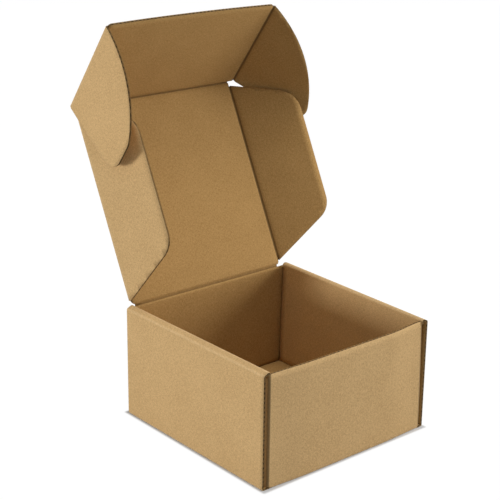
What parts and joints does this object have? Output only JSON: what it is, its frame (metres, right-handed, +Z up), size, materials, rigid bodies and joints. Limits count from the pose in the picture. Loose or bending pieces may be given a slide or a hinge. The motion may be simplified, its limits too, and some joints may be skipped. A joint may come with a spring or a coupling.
{
  "type": "corrugated mailer box",
  "caption": "Square corrugated mailer box with rolled double side walls, standing open with its lid leaning back and its tuck flap, lid side flaps and ears part folded.",
  "frame": {"origin": "centre of the underside of the base panel, on the surface that the box stands on", "axes": "+X to the right along the front wall, +Y from the front wall to the back wall that carries the lid, +Z up"},
  "size_m": [0.2005, 0.2154, 0.2787],
  "materials": {
    "kraft_board": "matte"
  },
  "bodies": {
    "tray": {"tray": "kraft_board"},
    "lid_panel": {"lid_panel": "kraft_board"},
    "tuck_flap": {"tuck_flap": "kraft_board"},
    "left_lid_flap": {"left_lid_flap": "kraft_board"},
    "right_lid_flap": {"right_lid_flap": "kraft_board"},
    "left_ear": {"left_ear": "kraft_board"},
    "right_ear": {"right_ear": "kraft_board"}
  },
  "joints": [
    {"name": "lid_hinge", "type": "hinge", "parent": "tray", "child": "lid_panel", "pos_m": [0, 0.07415, 0.0814], "axis": [1, 0, 0], "range_deg": [-64, 70]},
    {"name": "tuck_hinge", "type": "hinge", "parent": "lid_panel", "child": "tuck_flap", "pos_m": [0, 0.13833, 0.21298], "axis": [1, 0, 0], "range_deg": [-62, 3]},
    {"name": "left_flap_hinge", "type": "hinge", "parent": "lid_panel", "child": "left_lid_flap", "pos_m": [-0.0695, 0.07415, 0.0814], "axis": [0, 0.4384, 0.8988], "range_deg": [-6, 40]},
    {"name": "right_flap_hinge", "type": "hinge", "parent": "lid_panel", "child": "right_lid_flap", "pos_m": [0.0695, 0.07415, 0.0814], "axis": [0, -0.4384, -0.8988], "range_deg": [0, 110]},
    {"name": "left_ear_hinge", "type": "hinge", "parent": "tuck_flap", "child": "left_ear", "pos_m": [-0.0737, 0.13833, 0.21298], "axis": [0, -0.5948, 0.8039], "range_deg": [-94, 2]},
    {"name": "right_ear_hinge", "type": "hinge", "parent": "tuck_flap", "child": "right_ear", "pos_m": [0.0737, 0.13833, 0.21298], "axis": [0, 0.5948, -0.8039], "range_deg": [-38, 0]}
  ]
}
